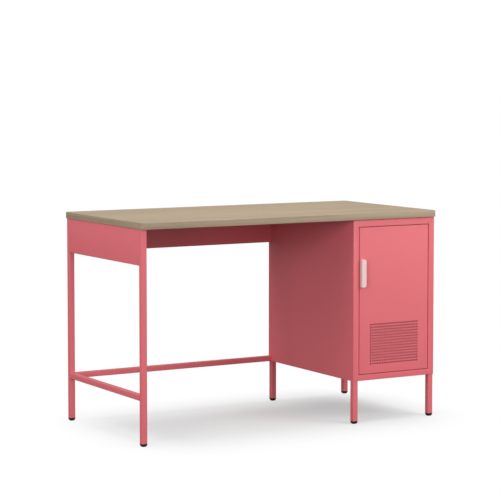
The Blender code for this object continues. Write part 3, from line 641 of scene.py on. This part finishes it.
def cut_with(piece, builder):
    """Cuts a piece with a builder's closed shapes, and keeps only the result."""
    bmesh.ops.recalc_face_normals(builder, faces=builder.faces)
    mesh = bpy.data.meshes.new("cutter")
    builder.to_mesh(mesh)
    builder.free()
    cutter = bpy.data.objects.new("cutter", mesh)
    bpy.context.scene.collection.objects.link(cutter)
    modifier = piece.modifiers.new("cut", "BOOLEAN")
    modifier.object = cutter
    bpy.context.view_layer.update()
    evaluated = piece.evaluated_get(bpy.context.evaluated_depsgraph_get())
    result = bpy.data.meshes.new_from_object(evaluated)
    piece.modifiers.clear()
    piece.data = result
    result.shade_smooth()
    result.set_sharp_from_angle(angle=math.radians(SMOOTH_ANGLE))
    bpy.data.objects.remove(cutter)
    bpy.data.meshes.remove(mesh)


def make_post(node):
    """A corner post with its rows of shelf peg holes."""
    low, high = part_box(node)
    peg_low, peg_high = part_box(node.replace("cabinet_", "shelf_clip_").replace("_post", ""))
    level = (peg_low.z + peg_high.z) / 2
    front = "front" in node
    wall_y = high.y - 2 * TUBE_WALL if front else low.y + 2 * TUBE_WALL
    x = (low.x + high.x) / 2
    inward = "y" if front else "-y"
    holes = []
    for step in range(-PEG_HOLES_EACH_WAY, PEG_HOLES_EACH_WAY + 1):
        start = (x, wall_y, level + step * PEG_HOLE_PITCH)
        holes.append((start, inward, PEG_HOLE_RADIUS, PEG_HOLE_DEPTH))
    make_tube(node, "z", holes)


def make_foot(node):
    """A plug foot: a pad that tapers to the floor, with a rounded rim, and its stem."""
    low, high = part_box(node)
    middle = (low + high) / 2
    side = high.x - low.x
    stem = side - 2 * TUBE_WALL - FOOT_STEM_PLAY
    levels = list(FOOT_PAD)
    levels += [
        (FOOT_SHOULDER, side, TUBE_RADIUS),
        (FOOT_PAD_TOP - FOOT_ARRIS, side, TUBE_RADIUS),
        (FOOT_PAD_TOP, side - 2 * FOOT_ARRIS, TUBE_RADIUS),
        (FOOT_PAD_TOP, stem, FOOT_STEM_CORNER),
        (high.z - FOOT_STEM_TAPER, stem, FOOT_STEM_CORNER),
        (high.z, stem - 2 * FOOT_STEM_TAPER, FOOT_STEM_CORNER),
    ]
    rings = []
    for z, width, radius in levels:
        outline = rounded_rectangle(width, width, radius)
        rings.append([(middle.x + x, middle.y + y, z) for x, y in outline])
    builder = bmesh.new()
    add_loft(builder, rings)
    replace_node(builder, node, smooth_angle=ROLLED_SMOOTH_ANGLE)


# ------------------------------------------------------------------ folded sheet
def make_apron(node, axis, legs):
    """A channel along an axis, folded at its top and bottom, with a flat tab across each end.

    Its face runs on to where the legs' flat faces begin, like a joint welded and ground flush.
    """
    low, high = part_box(node)
    run = "xyz".index(axis)
    across = 1 - run
    into_leg = TUBE_RADIUS + WELD_GAP
    low[run] -= into_leg
    if legs == 2:
        high[run] += into_leg
    back = high[across]  # the channel opens towards its back
    face = low[across]
    corners = [(back, high.z), (face, high.z), (face, low.z), (back, low.z)]
    builder = bmesh.new()
    add_extrusion(builder, sheet_section(corners), axis, low[run], high[run])
    at = PLANES[axis]
    for start in (low[run], high[run] - SHEET):
        tab_low = at(face + SHEET, low.z + SHEET, start)
        add_box(builder, tab_low, at(back, high.z - SHEET, start + SHEET))
    replace_node(builder, node, bevel=SHEARED_EDGE)


def tray_rings(width, height, depth, lip=0.0):
    """Rings of a folded tray as (height, outline), from the face, round and back inside."""
    radius = FOLD_RADIUS
    thickness = SHEET
    inner_radius = radius - thickness
    quarter = quarter_turn(ARC_STEPS)
    rings = []  # inset, depth below the face
    for swing in quarter:
        rings.append((radius * (1 - math.sin(swing)), radius * (1 - math.cos(swing))))
    if lip:
        for swing in quarter:
            rings.append((radius * (1 - math.cos(swing)), depth - radius * (1 - math.sin(swing))))
        rings.append((lip, depth))
        rings.append((lip, depth - thickness))
        for swing in reversed(quarter):
            inset = thickness + inner_radius * (1 - math.cos(swing))
            rings.append((inset, depth - thickness - inner_radius * (1 - math.sin(swing))))
    else:
        rings.append((0.0, depth))
        rings.append((thickness, depth))
    for swing in reversed(quarter):
        inset = thickness + inner_radius * (1 - math.sin(swing))
        rings.append((inset, thickness + inner_radius * (1 - math.cos(swing))))
    loops = []
    for inset, below in rings:
        outline = rounded_rectangle(width - 2 * inset, height - 2 * inset, TRAY_CORNER, 3)
        loops.append((-below, outline))
    return loops


def make_tray(node, facing, lip=0.0, notch=0.0):
    """A folded tray that fills a node's box, its face up or down, with notched corners or a lip."""
    low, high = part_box(node)
    middle = (low + high) / 2
    size = high - low
    face = (middle.x, middle.y, high.z if facing == "z" else low.z)
    builder = bmesh.new()
    add_loft(builder, place_rings(tray_rings(size.x, size.y, size.z, lip), facing, face))
    piece = replace_node(builder, node)
    if notch:
        cutter = bmesh.new()
        for x in (low.x, high.x):
            for y in (low.y, high.y):
                start = (x - notch, y - notch, low.z - SHEET)
                add_box(cutter, start, (x + notch, y + notch, high.z + SHEET))
        cut_with(piece, cutter)


def make_panel(node):
    """A flat sheet with softened cut edges."""
    builder = bmesh.new()
    add_box(builder, *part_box(node))
    replace_node(builder, node, bevel=SHEARED_EDGE)


def make_front_frame():
    """The face round the door: rounded outer corners and edges folded back round the opening."""
    low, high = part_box("cabinet_front_frame")
    door_low, door_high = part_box("door_panel")
    open_low = Vector((door_low.x - DOOR_SIDE_GAP, low.y, door_low.z - DOOR_END_GAP))
    open_high = Vector((door_high.x + DOOR_SIDE_GAP, low.y, door_high.z + DOOR_END_GAP))

    def ring(outer_share, inward, depth):
        """A rectangle between the opening and the outer edge, moved inward or outward."""
        x0 = low.x * outer_share + open_low.x * (1 - outer_share) + inward
        x1 = high.x * outer_share + open_high.x * (1 - outer_share) - inward
        z0 = low.z * outer_share + open_low.z * (1 - outer_share) + inward
        z1 = high.z * outer_share + open_high.z * (1 - outer_share) - inward
        y = low.y + depth
        return [(x0, y, z0), (x1, y, z0), (x1, y, z1), (x0, y, z1)]

    radius = FRAME_EDGE_RADIUS
    quarter = quarter_turn(4)
    loops = [ring(1, 0.0, FRAME_FLANGE)]
    for swing in quarter:  # round the outer edge
        loops.append(ring(1, radius * (1 - math.cos(swing)), radius * (1 - math.sin(swing))))
    for swing in reversed(quarter):  # round the opening's edge, then back along the fold
        loops.append(ring(0, -radius * (1 - math.cos(swing)), radius * (1 - math.sin(swing))))
    loops.append(ring(0, 0.0, OPENING_RETURN))
    loops.append(ring(0, -SHEET, OPENING_RETURN))
    loops.append(ring(0, -SHEET, SHEET))
    loops.append(ring(1, SHEET, SHEET))
    loops.append(ring(1, SHEET, FRAME_FLANGE))
    builder = bmesh.new()
    add_loft(builder, loops, loop=True)

    left = open_low.x - SHEET
    bottom = open_low.z - SHEET
    top = open_high.z + SHEET
    fold_y = low.y + OPENING_RETURN - SHEET
    stop_y = low.y + LATCH_RETURN
    add_box(builder, (left, fold_y, bottom), (open_low.x, stop_y, top))  # deeper on the latch side
    add_box(builder, (left, stop_y - SHEET, bottom), (open_low.x + STOP_LIP, stop_y, top))
    add_box(builder, (left, fold_y, open_high.z), (open_high.x + SHEET, high.y, top))
    replace_node(builder, "cabinet_front_frame", smooth_angle=ROLLED_SMOOTH_ANGLE)


# ------------------------------------------------------------------ door
def make_door_panel():
    """The door tray with its grid of round vent holes, each with a small countersink."""
    low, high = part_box("door_panel")
    builder = bmesh.new()
    size = high - low
    middle = (low + high) / 2
    rings = tray_rings(size.x, size.z, size.y, lip=DOOR_LIP)
    add_loft(builder, place_rings(rings, "-y", (middle.x, low.y, middle.z)))
    door = replace_node(builder, "door_panel")

    profile = (  # of the cutter, along +Y from just outside the door's face
        (-SHEET, VENT_RADIUS + 2 * COUNTERSINK),
        (0.0, VENT_RADIUS + COUNTERSINK),
        (COUNTERSINK, VENT_RADIUS),
        (3 * SHEET, VENT_RADIUS),
    )
    rings = [(height, circle(radius, VENT_SEGMENTS)) for height, radius in profile]
    cutter = bmesh.new()
    for column in range(VENT_COLUMNS):
        x = middle.x + (column - (VENT_COLUMNS - 1) / 2) * VENT_PITCH
        for row in range(VENT_ROWS):
            z = low.z + VENT_BOTTOM + row * VENT_PITCH
            add_loft(cutter, place_rings(rings, "y", (x, low.y, z)))
    cut_with(door, cutter)


def make_stiffener():
    """A hat section: two brims against the door and a crown that stands off it."""
    low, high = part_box("door_stiffener")
    brim = STIFFENER_BRIM
    crown = high.y - SHEET
    corners = [
        (low.x, low.y),
        (low.x + brim, low.y),
        (low.x + brim, crown),
        (high.x - brim, crown),
        (high.x - brim, low.y),
        (high.x, low.y),
    ]
    builder = bmesh.new()
    add_extrusion(builder, sheet_section(corners, radius=STIFFENER_FOLD), "z", low.z, high.z)
    replace_node(builder, "door_stiffener", bevel=SHEARED_EDGE)


def make_handle():
    """A folded pull: base, web and front flange, the free corners rounded."""
    low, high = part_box("door_handle")
    corner = HANDLE_CORNER
    centre_z = (low.z + high.z) / 2
    half = (high.z - low.z) / 2

    def reach(x):
        """Half height at a distance along the flange, so that its free corners are round."""
        into = max(0.0, x - (high.x - corner))
        return half - corner + math.sqrt(max(0.0, corner**2 - into**2))

    section = [(high.x, high.y), (low.x, high.y), (low.x, low.y), (high.x, low.y)]
    base_end, *folds, flange_end = folded_path(section, HANDLE_FOLD, 8)
    free_x = []  # stations round a free corner, towards the free edge
    for swing in quarter_turn(10):
        free_x.append(high.x - corner + corner * math.sin(swing))
    stations = [(Vector((x, base_end[0].y)), base_end[1]) for x in reversed(free_x)]
    stations += folds
    stations += [(Vector((x, flange_end[0].y)), flange_end[1]) for x in free_x]

    builder = bmesh.new()
    rows = []
    for point, normal in stations:
        inner = point + normal * HANDLE_SHEET
        up = reach(point.x)
        row = []
        for place, z in ((point, up), (point, -up), (inner, -up), (inner, up)):
            row.append(builder.verts.new((place.x, place.y, centre_z + z)))
        rows.append(row)
    for before, after in zip(rows, rows[1:]):
        for here in range(4):
            there = (here + 1) % 4
            builder.faces.new((before[here], before[there], after[there], after[here]))
    builder.faces.new(rows[0])
    builder.faces.new(list(reversed(rows[-1])))
    edges = {"bevel": HANDLE_EDGE, "bevel_segments": 3, "smooth_angle": ROLLED_SMOOTH_ANGLE}
    replace_node(builder, "door_handle", **edges)


# ------------------------------------------------------------------ small hardware
def along_axis(node, axis):
    """A node's box and middle, with the index and the sense of an axis such as "-x"."""
    low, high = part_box(node)
    return low, high, (low + high) / 2, "xyz".index(axis[-1]), -1 if axis[0] == "-" else 1


def make_screw(node, kind):
    """A domed socket-head screw: rounded head, hexagon socket and a threaded shank."""
    axis, head_height, shank = SCREWS[kind]
    low, high, middle, index, way = along_axis(node, axis)
    head = (high[(index + 1) % 3] - low[(index + 1) % 3]) / 2
    length = high[index] - low[index] - head_height
    bearing = list(middle)
    bearing[index] = low[index] + head_height if way > 0 else high[index] - head_height
    segments = SCREW_SEGMENTS
    socket = head * SOCKET
    rings = [
        (-head_height * SOCKET_FLOOR, hexagon(socket * 0.98, segments)),
        (BREAK - head_height, hexagon(socket, segments)),
        (-head_height, hexagon(socket * 1.12, segments)),
    ]
    for height, radius in HEAD_PROFILE:
        rings.append((-head_height * height, circle(head * radius, segments)))
    rings.append((-BREAK, circle(head, segments)))
    rings.append((0.0, circle(head - BREAK, segments)))
    rings.append((0.0, circle(shank, segments)))
    pitch = shank * THREAD_PITCH
    for turn in range(int((length - shank) / pitch)):
        start = shank * THREAD_START + turn * pitch
        rings.append((start + pitch * 0.25, circle(shank * THREAD_ROOT, segments)))
        rings.append((start + pitch * 0.75, circle(shank, segments)))
    rings.append((length, circle(shank * TIP, segments)))
    builder = bmesh.new()
    add_loft(builder, place_rings(rings, axis, bearing))
    replace_node(builder, node, smooth_angle=THREAD_SMOOTH_ANGLE)


def make_turned(node, axis, profile, bore=None):
    """A round piece: (height, radius) pairs from the end where its axis starts."""
    low, high, middle, index, way = along_axis(node, axis)
    start = list(middle)
    start[index] = low[index] if way > 0 else high[index]
    outline = list(profile)
    if bore:
        outline += [(profile[-1][0], bore), (profile[0][0], bore)]
    rings = [(height, circle(radius, TURNED_SEGMENTS)) for height, radius in outline]
    builder = bmesh.new()
    add_loft(builder, place_rings(rings, axis, start), loop=bool(bore))
    replace_node(builder, node, smooth_angle=ROLLED_SMOOTH_ANGLE)


def make_nut(node):
    """A hexagon nut across X, chamfered on both faces."""
    low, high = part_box(node)
    middle = (low + high) / 2
    segments = SCREW_SEGMENTS
    across = (high.y - low.y) / 2 / math.cos(math.radians(30))
    height = high.x - low.x
    rings = [
        (0.0, circle(across * NUT_FACE, segments)),
        (NUT_CHAMFER, hexagon(across, segments)),
        (height - NUT_CHAMFER, hexagon(across, segments)),
        (height, circle(across * NUT_FACE, segments)),
        (height, circle(NUT_BORE, segments)),
        (0.0, circle(NUT_BORE, segments)),
    ]
    builder = bmesh.new()
    add_loft(builder, place_rings(rings, "-x", (high.x, middle.y, middle.z)), loop=True)
    replace_node(builder, node)


def make_clip(node):
    """A bent shelf clip with its peg."""
    low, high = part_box(node)
    front = "front" in node
    post_low, post_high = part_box(node.replace("shelf_clip_", "cabinet_") + "_post")
    way = 1 if front else -1
    plate_y = post_high.y + CLIP_GAP if front else post_low.y - CLIP_GAP
    tongue_y = high.y if front else low.y
    corners = [(tongue_y, high.z), (plate_y, high.z), (plate_y, low.z)]
    builder = bmesh.new()
    outline = sheet_section(corners, CLIP_SHEET * way, CLIP_FOLD)
    add_extrusion(builder, outline, "x", low.x, high.x)
    peg = [
        (0.0, circle(PEG_RADIUS, HOLE_SEGMENTS)),
        (PEG_LENGTH - PEG_CHAMFER, circle(PEG_RADIUS, HOLE_SEGMENTS)),
        (PEG_LENGTH, circle(PEG_RADIUS - PEG_CHAMFER, HOLE_SEGMENTS)),
    ]
    peg_x = (post_low.x + post_high.x) / 2
    start = (peg_x, plate_y + way * CLIP_SHEET / 2, (low.z + high.z) / 2)
    add_loft(builder, place_rings(peg, "-y" if front else "y", start))
    replace_node(builder, node, bevel=SHEARED_EDGE)


def make_block(node, bevel):
    """A block with rounded edges that fills a node's box."""
    builder = bmesh.new()
    add_box(builder, *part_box(node))
    return replace_node(builder, node, bevel=bevel, bevel_segments=3)


def make_catch():
    """The housing with the magnet in a pocket open to the front, and the door's strike plate."""
    magnet_low, magnet_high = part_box("catch_magnet")
    housing = make_block("catch_housing", HOUSING_EDGE)
    clear = MAGNET_CLEARANCE
    pocket = bmesh.new()
    pocket_low = magnet_low - Vector((clear, POCKET_REACH, clear))
    add_box(pocket, pocket_low, magnet_high + Vector((clear, clear, clear)))
    cut_with(housing, pocket)
    make_block("catch_magnet", MAGNET_EDGE)
    make_block("strike_plate", STRIKE_EDGE)


# ------------------------------------------------------------------ weld beads
def make_weld(name, start, end):
    """A bead of overlapping ripples along a joint."""
    start = Vector(start)
    end = Vector(end)
    along = (end - start).normalized()
    side = along.orthogonal().normalized()
    other = along.cross(side)
    length = (end - start).length
    stations = max(WELD_STATIONS, int(length / WELD_RIPPLE * WELD_STATIONS))
    rings = []
    for station in range(stations + 1):
        share = station / stations
        ripple = abs(math.sin(math.pi * share * length / WELD_RIPPLE))
        swell = 1 - WELD_SWELL + WELD_SWELL * ripple
        taper = min(1.0, WELD_TIP + WELD_TAPER * min(share, 1 - share))
        centre = start + along * length * share
        outline = circle(WELD_RADIUS * swell * taper, WELD_SEGMENTS)
        rings.append([centre + side * x + other * y for x, y in outline])
    builder = bmesh.new()
    add_loft(builder, rings)
    finish_piece(builder, name, "coral_paint", "desk", smooth_angle=WELD_SMOOTH_ANGLE)


def make_welds():
    """Beads on the left frame's inner sides and on the rear pieces' rear sides."""
    rail_low, rail_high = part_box("left_side_stretcher")
    apron_low, apron_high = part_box("left_side_apron")
    inside = apron_low.x + 2 * SHEET  # the bead stays behind the sheet's outer face
    for end in ("front", "rear"):
        leg_low, leg_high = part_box(f"left_{end}_leg")
        y = leg_high.y if end == "front" else leg_low.y
        lower = (rail_high.x, y, rail_low.z + WELD_INSET)
        upper = (rail_high.x, y, rail_high.z - WELD_INSET)
        make_weld(f"weld_stretcher_{end}", lower, upper)
        outer = (rail_low.x + WELD_UNDER_INSET, y, rail_low.z)
        inner = (rail_high.x - WELD_UNDER_INSET, y, rail_low.z)
        make_weld(f"weld_stretcher_{end}_under", outer, inner)
        for share in (0.15, 0.6):  # of the apron's height
            z = apron_low.z + (apron_high.z - apron_low.z) * share
            name = f"weld_apron_{end}_{int(share * 100)}"
            make_weld(name, (inside, y, z), (inside, y, z + WELD_LENGTH))
    _, leg_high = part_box("left_rear_leg")
    for rail, inset in (("rear_stretcher", WELD_INSET), ("rear_apron", WELD_APRON_INSET)):
        low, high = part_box(rail)  # on the rail's rear side
        lower = (leg_high.x, high.y, low.z + inset)
        upper = (leg_high.x, high.y, high.z - inset)
        make_weld(f"weld_{rail}", lower, upper)


# ------------------------------------------------------------------ floor, light and camera
def make_stage():
    """A pale floor that fades to the white of the background away from the desk."""
    builder = bmesh.new()
    bmesh.ops.create_grid(builder, x_segments=1, y_segments=1, size=FLOOR_REACH)
    mesh = bpy.data.meshes.new("floor")
    builder.to_mesh(mesh)
    builder.free()
    floor = bpy.data.objects.new("floor", mesh)
    bpy.context.scene.collection.objects.link(floor)
    paper = Finish("floor_paper", 0.9)
    paper.shader.inputs["Base Color"].default_value = FLOOR_COLOUR
    paper.shader.inputs["Specular IOR Level"].default_value = 0.0
    paper.shader.inputs["Emission Color"].default_value = (1.0, 1.0, 1.0, 1.0)
    paper.shader.inputs["Emission Strength"].default_value = FLOOR_GLOW
    path = paper.add("ShaderNodeLightPath").outputs["Is Camera Ray"]
    place = paper.place
    steps = (
        ("SUBTRACT", FLOOR_CENTRE),
        ("ABSOLUTE", None),
        ("SUBTRACT", FLOOR_CORE),
        ("MAXIMUM", (0.0, 0.0, 0.0)),
        ("DIVIDE", FLOOR_FADE),
    )
    for operation, value in steps:
        node = paper.add("ShaderNodeVectorMath", operation=operation)
        paper.link(place, node.inputs[0])
        if value:
            node.inputs[1].default_value = value
        place = node.outputs["Vector"]
    distance = paper.add("ShaderNodeVectorMath", operation="LENGTH")
    paper.link(place, distance.inputs[0])
    fade = paper.spread(distance.outputs["Value"], 0.0, 1.0)
    fade.node.interpolation_type = "SMOOTHSTEP"
    white = paper.add("ShaderNodeEmission")
    dim = paper.add("ShaderNodeBsdfDiffuse")
    dim.inputs["Color"].default_value = FLOOR_BOUNCE
    seen = paper.add("ShaderNodeMixShader")
    paper.link(fade, seen.inputs["Fac"])
    paper.link(paper.shader.outputs["BSDF"], seen.inputs[1])
    paper.link(white.outputs["Emission"], seen.inputs[2])
    choice = paper.add("ShaderNodeMixShader")
    paper.link(path, choice.inputs["Fac"])
    paper.link(dim.outputs["BSDF"], choice.inputs[1])
    paper.link(seen.outputs["Shader"], choice.inputs[2])
    paper.link(choice.outputs["Shader"], paper.tree.nodes["Material Output"].inputs["Surface"])
    mesh.materials.append(paper.material)


def softbox(name, location, target, size, power):
    """A rectangular light that faces its target."""
    data = bpy.data.lights.new(name, "AREA")
    data.shape = "RECTANGLE"
    data.size, data.size_y = size
    data.energy = power
    lamp = bpy.data.objects.new(name, data)
    bpy.context.scene.collection.objects.link(lamp)
    lamp.location = location
    lamp.rotation_euler = (Vector(target) - Vector(location)).to_track_quat("-Z", "Y").to_euler()


def make_light():
    """A surround that is white to the camera and dimmer as a light, and the soft boxes."""
    world = bpy.data.worlds.new("studio")
    world.use_nodes = True
    bpy.context.scene.world = world
    tree = world.node_tree
    seen = tree.nodes["Background"]
    seen.inputs["Color"].default_value = (1.0, 1.0, 1.0, 1.0)
    seen.inputs["Strength"].default_value = 1.0
    fill = tree.nodes.new("ShaderNodeBackground")
    fill.inputs["Color"].default_value = (1.0, 1.0, 1.0, 1.0)
    fill.inputs["Strength"].default_value = WORLD_FILL
    path = tree.nodes.new("ShaderNodeLightPath")
    choice = tree.nodes.new("ShaderNodeMixShader")
    tree.links.new(path.outputs["Is Camera Ray"], choice.inputs["Fac"])
    tree.links.new(fill.outputs["Background"], choice.inputs[1])
    tree.links.new(seen.outputs["Background"], choice.inputs[2])
    tree.links.new(choice.outputs["Shader"], tree.nodes["World Output"].inputs["Surface"])
    for name, settings in SOFTBOXES.items():
        softbox(name, *settings)


def make_camera():
    """A long lens from the front left, a little above the board."""
    data = bpy.data.cameras.new("camera")
    data.sensor_width = CAMERA_SENSOR
    data.lens = CAMERA_LENS
    data.shift_y = CAMERA_SHIFT
    data.clip_end = CAMERA_REACH
    camera = bpy.data.objects.new("camera", data)
    bpy.context.scene.collection.objects.link(camera)
    camera.location = CAMERA_LOCATION
    camera.rotation_euler = (math.radians(90 - CAMERA_PITCH), 0.0, math.radians(-CAMERA_YAW))
    bpy.context.scene.camera = camera
    bpy.context.scene.view_settings.view_transform = "Standard"


# ------------------------------------------------------------------ assembly
def main():
    """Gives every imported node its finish, then makes the pieces, the floor, light and camera."""
    for node, thing in frame["nodes"].items():
        thing.data.materials.clear()
        thing.data.materials.append(finishes[SLOT_OF[node]])

    make_board()
    make_tube("left_front_leg", "z")
    make_tube("left_rear_leg", "z")
    make_tube("left_side_stretcher", "y")
    make_tube("rear_stretcher", "x")
    for node in frame["nodes"]:
        if node.endswith("_post"):
            make_post(node)
        if node.endswith("_foot"):
            make_foot(node)
        if node.startswith("shelf_clip"):
            make_clip(node)
        if node.endswith("_nut"):
            make_nut(node)
        for kind in SCREWS:
            if kind in node:
                make_screw(node, kind)
    make_apron("left_side_apron", "y", legs=2)
    make_apron("rear_apron", "x", legs=1)

    make_front_frame()
    for node in ("cabinet_left_panel", "cabinet_right_panel", "cabinet_back_panel"):
        make_panel(node)
    make_tray("cabinet_floor", "-z", notch=CORNER_NOTCH)
    make_tray("cabinet_roof", "z", notch=CORNER_NOTCH)
    make_tray("cabinet_shelf", "z", lip=SHELF_LIP)

    make_door_panel()
    make_stiffener()
    make_handle()
    for label, axis in (("lower", "z"), ("upper", "-z")):
        make_turned(f"hinge_pin_{label}", axis, PIN_PROFILE)
        make_turned(f"hinge_bush_{label}", axis, BUSH_PROFILE, bore=BUSH_BORE)
        make_turned(f"door_bumper_{label}", "y", BUMPER_PROFILE)
    make_catch()
    make_welds()

    make_stage()
    make_light()
    make_camera()


main()
